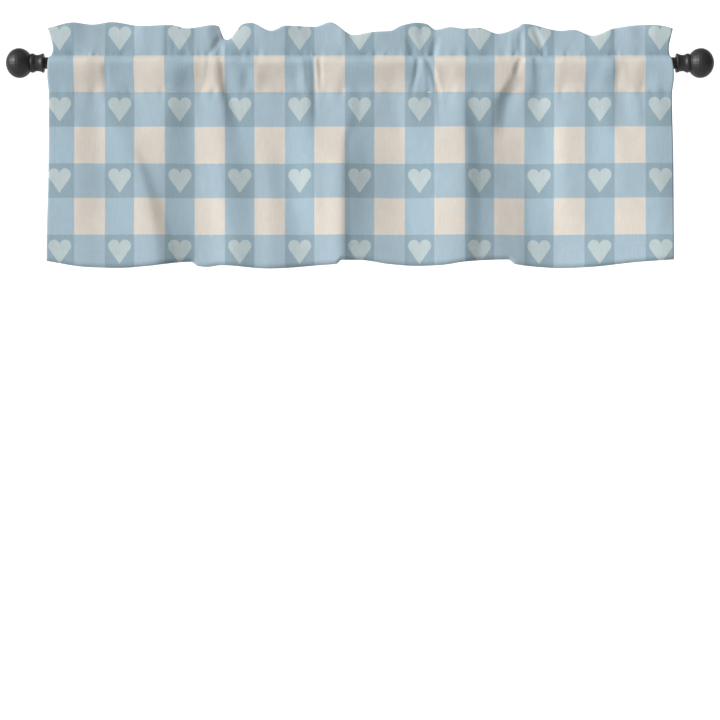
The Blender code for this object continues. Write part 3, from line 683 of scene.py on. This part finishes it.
def sheet_path(shares):
    """The sheet from the hem's allowance up the front, over the header and down the back."""
    path = Path(shares)
    add_hem(path)
    add_panel(path)
    add_pocket_low(path, -1, FRONT_HEIGHTS)
    add_pocket_arc(path, -1, FRONT_ANGLES)
    add_neck(path, -1, FRONT_NECK)
    add_header(path, -1, FRONT_CLIMBS)
    add_crown(path, CROWN_TURNS)
    add_header(path, 1, BACK_CLIMBS)
    add_neck(path, 1, BACK_NECK)
    add_pocket_arc(path, 1, BACK_ANGLES)
    add_pocket_low(path, 1, BACK_HEIGHTS, behind=POCKET_BEHIND)
    for z, behind in SEAM_ROWS:
        x = place_across(shares, z)
        path.add(x, panel_depth(x, z) + behind, z, fold_print(path, np.full(len(shares), z), 1))
    return path


# Materials


def linear(red, green, blue):
    """An sRGB colour out of 255 as linear light."""
    light = []
    for value in (red, green, blue):
        value = value / 255.0
        light.append(value / 12.92 if value < 0.04045 else ((value + 0.055) / 1.055) ** 2.4)
    return (*light, 1.0)


class Tree:
    """Short ways to add a material's nodes."""

    def __init__(self, name):
        self.material = bpy.data.materials.new(name)
        self.material.use_nodes = True
        self.nodes = self.material.node_tree.nodes
        self.links = self.material.node_tree.links
        self.shader = self.nodes["Principled BSDF"]

    def put(self, socket, value):
        if isinstance(value, bpy.types.NodeSocket):
            self.links.new(value, socket)
        else:
            socket.default_value = value

    def math(self, operation, *values):
        node = self.nodes.new("ShaderNodeMath")
        node.operation = operation
        for index, value in enumerate(values):
            self.put(node.inputs[index], value)
        return node.outputs[0]

    def soften(self, distance, soft):
        """1 where the distance is below nothing, 0 where it is above, with a soft edge."""
        node = self.nodes.new("ShaderNodeMapRange")
        node.interpolation_type = "SMOOTHSTEP"
        self.put(node.inputs["Value"], distance)
        node.inputs["From Min"].default_value = soft
        node.inputs["From Max"].default_value = -soft
        return node.outputs["Result"]

    def mix(self, share, first, second, blend="MIX"):
        node = self.nodes.new("ShaderNodeMix")
        node.data_type = "RGBA"
        node.blend_type = blend
        colours = [socket for socket in node.inputs if socket.type == "RGBA"]
        self.put(node.inputs["Factor"], share)
        self.put(colours[0], first)
        self.put(colours[1], second)
        return [socket for socket in node.outputs if socket.type == "RGBA"][0]

    def place(self, u, v, along, up, shift=0.0):
        """A place for a noise whose spots are this long along the cloth and this long up it."""
        node = self.nodes.new("ShaderNodeCombineXYZ")
        self.put(node.inputs[0], self.math("DIVIDE", u, along))
        self.put(node.inputs[1], self.math("DIVIDE", v, up))
        node.inputs[2].default_value = shift
        return node.outputs[0]

    def noise(self, place, detail=1.0):
        """A noise around nothing, from about -0.5 to 0.5."""
        node = self.nodes.new("ShaderNodeTexNoise")
        node.inputs["Scale"].default_value = 1.0
        node.inputs["Detail"].default_value = detail
        self.put(node.inputs["Vector"], place)
        return self.math("SUBTRACT", node.outputs["Fac"], 0.5)


CREAM = linear(226, 218, 207)


def dyed(colour, red, green, blue):
    """The colour with these shares of its light left by a dye."""
    return (colour[0] * red, colour[1] * green, colour[2] * blue, 1.0)


STRIPE_UP = dyed(CREAM, 0.528, 0.760, 0.980)
STRIPE_ACROSS = dyed(CREAM, 0.548, 0.772, 0.990)
CROSSING = dyed(CREAM, 0.405, 0.602, 0.776)
HEART = dyed(CREAM, 0.691, 0.875, 1.0)
THREAD = linear(196, 203, 204)
METAL = linear(34, 34, 36)
WHITE = (1.0, 1.0, 1.0, 1.0)
COOL_TINT = (0.958, 1.0, 1.035, 1.0)
WARM_TINT = (1.042, 0.994, 0.96, 1.0)

# Finish of the cloth, the thread, the metal and the studio
CLOTH_ROUGHNESS = 0.88
CLOTH_SPECULAR = 0.12
CLOTH_SHEEN = 0.04
CLOTH_SHEEN_ROUGHNESS = 0.5
REVERSE_PALENESS = 0.45
WEAVE_STRENGTH = 0.35
WEAVE_HEIGHT = 0.0004
WEAVE_UPRIGHT_SHARE = 0.6
THREAD_ROUGHNESS = 0.7
METAL_METALLIC = 0.25
METAL_SPECULAR = 0.9
GLOSS_SCALE = 60.0
GLOSS_DETAIL = 3.0
METAL_ROUGHNESS = (0.46, 0.56)
STUDIO_ROUGHNESS = 0.9


def print_cloth(name, paleness):
    """Printed linen-look cloth. The reverse side is the same print, paler by paleness."""
    tree = Tree(name)
    where = tree.nodes.new("ShaderNodeUVMap")
    where.uv_map = "print"
    parts = tree.nodes.new("ShaderNodeSeparateXYZ")
    tree.links.new(where.outputs[0], parts.inputs[0])
    u = tree.math("MULTIPLY", parts.outputs[0], 1.0 / MM)
    v = tree.math("MULTIPLY", parts.outputs[1], 1.0 / MM)

    upright = tree.noise(tree.place(u, v, *UPRIGHT_THREADS), SPOT_DETAIL)
    level = tree.noise(tree.place(u, v, *LEVEL_THREADS), SPOT_DETAIL)
    patchy = tree.noise(tree.place(u, v, *PATCHES), SPOT_DETAIL)

    u_edge = tree.math("ADD", u, tree.math("MULTIPLY", level, EDGE_WANDER))
    v_edge = tree.math("ADD", v, tree.math("MULTIPLY", upright, EDGE_WANDER))
    across = tree.math("SUBTRACT", u_edge, HEART_X)
    across = tree.math("ABSOLUTE", tree.math("WRAP", across, REPEAT_X / 2, -REPEAT_X / 2))
    rise = tree.math("SUBTRACT", v_edge, HEART_Z)
    rise = tree.math("WRAP", rise, REPEAT_Z / 2, -REPEAT_Z / 2)

    off_column = tree.math("SUBTRACT", across, STRIPE_HALF_X)
    stripe_up = tree.soften(off_column, STRIPE_SOFTNESS)
    off_row = tree.math("SUBTRACT", tree.math("ABSOLUTE", rise), STRIPE_HALF_Z)
    stripe_across = tree.soften(off_row, STRIPE_SOFTNESS)

    wide = tree.math("MULTIPLY", across, HEART_SLIMNESS)
    lobe_x = tree.math("SUBTRACT", wide, LOBE_X)
    lobe_z = tree.math("SUBTRACT", rise, LOBE_Z)
    lobe = tree.math("ADD", tree.math("MULTIPLY", lobe_x, lobe_x),
                     tree.math("MULTIPLY", lobe_z, lobe_z))
    lobe = tree.math("SUBTRACT", tree.math("SQRT", lobe), LOBE_RADIUS)
    slant = tree.math("MULTIPLY", tree.math("ADD", rise, POINT_DROP), FLANK_SLOPE)
    slant = tree.math("MULTIPLY", tree.math("SUBTRACT", wide, slant), FLANK_COSINE)
    notch = tree.math("ADD", rise, tree.math("MULTIPLY", wide, NOTCH_SLOPE))
    notch = tree.math("MULTIPLY", tree.math("SUBTRACT", notch, NOTCH_RISE), NOTCH_COSINE)
    wedge = tree.math("MAXIMUM", slant, notch)
    heart = tree.soften(tree.math("MINIMUM", lobe, wedge), HEART_SOFTNESS)

    plain = tree.mix(stripe_up, CREAM, STRIPE_UP)
    crossed = tree.mix(stripe_up, STRIPE_ACROSS, CROSSING)
    colour = tree.mix(stripe_across, plain, crossed)
    colour = tree.mix(heart, colour, HEART)

    threads = tree.math("ADD", tree.math("MULTIPLY", upright, UPRIGHT_CONTRAST),
                        tree.math("MULTIPLY", level, LEVEL_CONTRAST))
    threads = tree.math("ADD", threads, tree.math("MULTIPLY", patchy, PATCH_CONTRAST))
    threads = tree.math("ADD", threads, 1.0)
    warm = tree.noise(tree.place(u, v, *WARM_SPOTS), SPOT_DETAIL)
    warm = tree.math("ADD", warm, 0.5)
    colour = tree.mix(warm, tree.mix(1.0, colour, COOL_TINT, "MULTIPLY"),
                      tree.mix(1.0, colour, WARM_TINT, "MULTIPLY"))
    shade = tree.nodes.new("ShaderNodeVectorMath")
    shade.operation = "SCALE"
    tree.links.new(colour, shade.inputs[0])
    tree.links.new(threads, shade.inputs["Scale"])
    colour = shade.outputs[0]
    if paleness:
        colour = tree.mix(paleness, colour, CREAM)
    tree.links.new(colour, tree.shader.inputs["Base Color"])

    bump = tree.nodes.new("ShaderNodeBump")
    bump.inputs["Strength"].default_value = WEAVE_STRENGTH
    bump.inputs["Distance"].default_value = WEAVE_HEIGHT
    height = tree.math("ADD", tree.math("MULTIPLY", upright, WEAVE_UPRIGHT_SHARE), level)
    tree.links.new(height, bump.inputs["Height"])
    tree.links.new(bump.outputs[0], tree.shader.inputs["Normal"])
    tree.shader.inputs["Roughness"].default_value = CLOTH_ROUGHNESS
    tree.shader.inputs["Specular IOR Level"].default_value = CLOTH_SPECULAR
    tree.shader.inputs["Sheen Weight"].default_value = CLOTH_SHEEN
    tree.shader.inputs["Sheen Roughness"].default_value = CLOTH_SHEEN_ROUGHNESS
    return tree.material


def satin_black(name):
    """Satin black paint on turned metal, with a faint unevenness in its gloss."""
    tree = Tree(name)
    tree.shader.inputs["Base Color"].default_value = METAL
    tree.shader.inputs["Metallic"].default_value = METAL_METALLIC
    tree.shader.inputs["Specular IOR Level"].default_value = METAL_SPECULAR
    where = tree.nodes.new("ShaderNodeTexCoord")
    cloud = tree.nodes.new("ShaderNodeTexNoise")
    cloud.inputs["Scale"].default_value = GLOSS_SCALE
    cloud.inputs["Detail"].default_value = GLOSS_DETAIL
    tree.links.new(where.outputs["Object"], cloud.inputs["Vector"])
    gloss = tree.nodes.new("ShaderNodeMapRange")
    gloss.inputs["To Min"].default_value = METAL_ROUGHNESS[0]
    gloss.inputs["To Max"].default_value = METAL_ROUGHNESS[1]
    tree.links.new(cloud.outputs["Fac"], gloss.inputs["Value"])
    tree.links.new(gloss.outputs["Result"], tree.shader.inputs["Roughness"])
    return tree.material


def plain_finish(name, colour, roughness):
    tree = Tree(name)
    tree.shader.inputs["Base Color"].default_value = colour
    tree.shader.inputs["Roughness"].default_value = roughness
    return tree.material


# Meshes


def grid_mesh(name, points, prints):
    rows, columns = points.shape[:2]
    number = np.arange(rows * columns).reshape(rows, columns)
    corners = (number[:-1, :-1], number[:-1, 1:], number[1:, 1:], number[1:, :-1])
    faces = np.stack(corners, axis=-1).reshape(-1, 4)
    mesh = bpy.data.meshes.new(name)
    mesh.from_pydata((points.reshape(-1, 3) * MM).tolist(), [], faces.tolist())
    layer = mesh.uv_layers.new(name="print")
    places = (prints.reshape(-1, 2) * MM)[faces.ravel()]
    layer.data.foreach_set("uv", places.ravel())
    mesh.shade_smooth()
    return mesh


def add_piece(name, mesh, slot, *materials):
    piece = bpy.data.objects.new(name, mesh)
    for material in materials:
        mesh.materials.append(material)
    bpy.context.scene.collection.objects.link(piece)
    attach(piece, "root")
    return piece


def front_surface(x, z):
    """The cloth's printed face in the panel and at its seam."""
    return np.stack([x, panel_depth(x, z), z], axis=1)


def header_stitch_line():
    """Points along the header's stitches, which lie in the waist between header and pocket."""
    path = Path(np.linspace(*HEADER_ROW_ENDS, FINE_COLUMNS))
    x, y, z = header_point(path, np.zeros(FINE_COLUMNS), -1)
    return np.stack([x, y, z], axis=1)


def level_line(height):
    """Points across the panel at the height that this function gives for each x."""
    ends = (SIDE_EDGES[1].left + LEVEL_ROW_INSET, SIDE_EDGES[1].right - LEVEL_ROW_INSET)
    x = np.linspace(*ends, FINE_COLUMNS)
    return front_surface(x, height(x))


def upright_line(share, inward):
    """Points up one side, this far in from the edge, from the hem to the seam."""
    lowest = hem_height(SIDE_EDGES[0].left) + UPRIGHT_ROW_INSET
    z = np.linspace(lowest, SEAM_Z - UPRIGHT_ROW_INSET, FINE_COLUMNS)
    x = place_across(np.full(FINE_COLUMNS, share), z) + inward
    return front_surface(x, z)


def add_stitches(line, sideways, points, faces, chance):
    """A row of stitches along a line: each a short thread with both ends in the cloth."""
    steps = np.linalg.norm(np.diff(line, axis=0), axis=1)
    reach = np.concatenate([[0.0], np.cumsum(steps)])
    for start in np.arange(STITCH_PITCH, reach[-1] - STITCH_PITCH, STITCH_PITCH):
        uneven = chance.uniform(-STITCH_UNEVENNESS, STITCH_UNEVENNESS, 2)
        ends = start + np.array([0.0, STITCH_LENGTH]) + uneven
        head, tail = (
            np.array([np.interp(end, reach, line[:, axis]) for axis in range(3)]) for end in ends
        )
        along = (tail - head) / np.linalg.norm(tail - head)
        outward = np.cross(along, sideways)
        outward = outward / np.linalg.norm(outward)
        across = np.cross(outward, along)
        first = len(points)
        points.append(head - THREAD_SINK * outward)
        for share in THREAD_KNEES:
            middle = head + (tail - head) * share + THREAD_LIFT * outward
            for turn in (0.0, 0.5 * pi, pi, 1.5 * pi):
                points.append(middle + THREAD_RADIUS * (across * cos(turn) + outward * sin(turn)))
        points.append(tail - THREAD_SINK * outward)
        for turn in range(4):
            after = (turn + 1) % 4
            faces.append((first, first + 1 + after, first + 1 + turn))
            faces.append((first + 1 + turn, first + 1 + after, first + 5 + after, first + 5 + turn))
            faces.append((first + 9, first + 5 + turn, first + 5 + after))


def make_stitches(thread):
    points, faces = [], []
    chance = np.random.RandomState(STITCH_SEED)
    level, upright = (0.0, 0.0, 1.0), (-1.0, 0.0, 0.0)
    add_stitches(header_stitch_line(), level, points, faces, chance)
    add_stitches(level_line(lambda x: np.full(len(x), SEAM_Z)), level, points, faces, chance)
    add_stitches(level_line(lambda x: hem_height(x) + HEM_RISE), level, points, faces, chance)
    sewn_at = SIDE_HEM - SIDE_HEM_SEWN_IN
    for share, inward in ((0.0, sewn_at), (1.0, -sewn_at)):
        add_stitches(upright_line(share, inward), upright, points, faces, chance)
    mesh = bpy.data.meshes.new("stitches")
    mesh.from_pydata((np.array(points) * MM).tolist(), [], faces)
    mesh.shade_smooth()
    return add_piece("stitches", mesh, "checked_cloth", thread)


def make_side_hem(name, share, inward, printed):
    """One side's narrow hem, turned to the back, with its printed face away from the room."""
    points, prints = [], []
    low = hem_height(place_across(share, HEM_Z)) + HEM_RISE
    steps = SIDE_HEM_STEPS[::-1] if inward > 0 else SIDE_HEM_STEPS
    for z in np.linspace(low, SEAM_Z - SIDE_HEM_BELOW_SEAM, SIDE_HEM_ROWS):
        edge = place_across(share, z)
        row = []
        for step, behind in steps:
            x = edge + inward * step
            row.append((x, float(panel_depth(np.array([x]), np.array([z]))[0]) + behind, z))
            prints.append((2.0 * edge - x, z))
        points.append(row)
    prints = np.array(prints).reshape(SIDE_HEM_ROWS, len(steps), 2)
    return add_piece(name, grid_mesh(name, np.array(points), prints), "checked_cloth", printed)


def make_sheet(shares, printed, reverse):
    path = sheet_path(shares)
    mesh = grid_mesh("valance_sheet", np.array(path.points), np.array(path.prints))
    sheet = add_piece("valance_sheet", mesh, "checked_cloth", printed, reverse)
    thick = sheet.modifiers.new("thickness", "SOLIDIFY")
    thick.thickness = SHEET_THICKNESS * MM
    thick.offset = -1.0
    thick.material_offset = 1
    thick.use_rim = True
    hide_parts("valance_cloth")
    return sheet


# Camera, light and backdrop

CAMERA_DISTANCE = 4.0
FRAME_WIDTH = 1.3536
CAMERA_HEIGHT = -0.5582
SENSOR = 36.0
KEY_PLACE = (-6.2, -4.0, 2.0)
KEY_AIM = (0.0, 0.0, -0.15)
KEY_SPREAD = 17.0
KEY_STRENGTH = 3.36
BOX_PLACE = (0.0, -1.3, 2.7)
BOX_AIM = (0.0, 0.0, -0.1)
BOX_WIDTH = 2.6
BOX_HEIGHT = 0.6
BOX_POWER = 8.0
WORLD_STRENGTH = 0.2
FLOOR_Z = -2.4
BACKDROP_Y = 5.2
STAGE_HALF_WIDTH = 9.0
STAGE_TOP = 7.0
FLOOR_SHADE = 0.8
BACKDROP_SHADE = 0.8
BACKDROP_GLOW = 0.45


def make_camera():
    camera = bpy.data.cameras.new("camera")
    camera.sensor_width = SENSOR
    camera.lens = SENSOR * CAMERA_DISTANCE / FRAME_WIDTH
    item = bpy.data.objects.new("camera", camera)
    item.location = (0.0, -CAMERA_DISTANCE, CAMERA_HEIGHT)
    item.rotation_euler = (radians(90), 0.0, 0.0)
    bpy.context.scene.collection.objects.link(item)
    bpy.context.scene.camera = item


def add_lamp(name, lamp, place, target):
    item = bpy.data.objects.new(name, lamp)
    item.location = place
    away = Vector(target) - Vector(place)
    item.rotation_euler = away.to_track_quat("-Z", "Y").to_euler()
    bpy.context.scene.collection.objects.link(item)


def make_lights():
    """An even raking key from the upper left, and a long soft box above the camera."""
    key = bpy.data.lights.new("key", "SUN")
    key.angle = radians(KEY_SPREAD)
    key.energy = KEY_STRENGTH
    add_lamp("key", key, KEY_PLACE, KEY_AIM)
    box = bpy.data.lights.new("soft_box", "AREA")
    box.shape = "RECTANGLE"
    box.size = BOX_WIDTH
    box.size_y = BOX_HEIGHT
    box.energy = BOX_POWER
    add_lamp("soft_box", box, BOX_PLACE, BOX_AIM)


def make_studio():
    make_lights()
    world = bpy.data.worlds.new("studio")
    world.use_nodes = True
    sky = world.node_tree.nodes["Background"]
    sky.inputs["Color"].default_value = WHITE
    sky.inputs["Strength"].default_value = WORLD_STRENGTH
    bpy.context.scene.world = world
    near = [(side, -STAGE_HALF_WIDTH, FLOOR_Z) for side in (-STAGE_HALF_WIDTH, STAGE_HALF_WIDTH)]
    far = [(side, BACKDROP_Y, FLOOR_Z) for side in (STAGE_HALF_WIDTH, -STAGE_HALF_WIDTH)]
    top = [(side, BACKDROP_Y, STAGE_TOP) for side in (STAGE_HALF_WIDTH, -STAGE_HALF_WIDTH)]
    for name, shade, glow, corners in (
        ("floor", FLOOR_SHADE, 0.0, near + far),
        ("backdrop", BACKDROP_SHADE, BACKDROP_GLOW, far[::-1] + top),
    ):
        white = plain_finish(name + "_white", (shade, shade, shade, 1.0), STUDIO_ROUGHNESS)
        shader = white.node_tree.nodes["Principled BSDF"]
        shader.inputs["Emission Color"].default_value = WHITE
        shader.inputs["Emission Strength"].default_value = glow
        mesh = bpy.data.meshes.new(name)
        mesh.from_pydata(corners, [], [(0, 1, 2, 3)])
        mesh.materials.append(white)
        item = bpy.data.objects.new(name, mesh)
        bpy.context.scene.collection.objects.link(item)
    bpy.context.scene.view_settings.view_transform = "Standard"


def main():
    make_camera()
    make_studio()
    shares = column_shares()
    printed = print_cloth("checked_cloth_print", 0.0)
    reverse = print_cloth("checked_cloth_reverse", REVERSE_PALENESS)
    sheet = make_sheet(shares, printed, reverse)
    extras = [make_stitches(plain_finish("thread", THREAD, THREAD_ROUGHNESS))]
    extras.append(make_side_hem("side_hem_left", 0.0, 1.0, printed))
    extras.append(make_side_hem("side_hem_right", 1.0, -1.0, printed))
    metal = satin_black("satin_black_metal")
    for name in ("curtain_rod", "finial_left", "finial_right"):
        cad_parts[name].material_slots[0].material = metal


main()
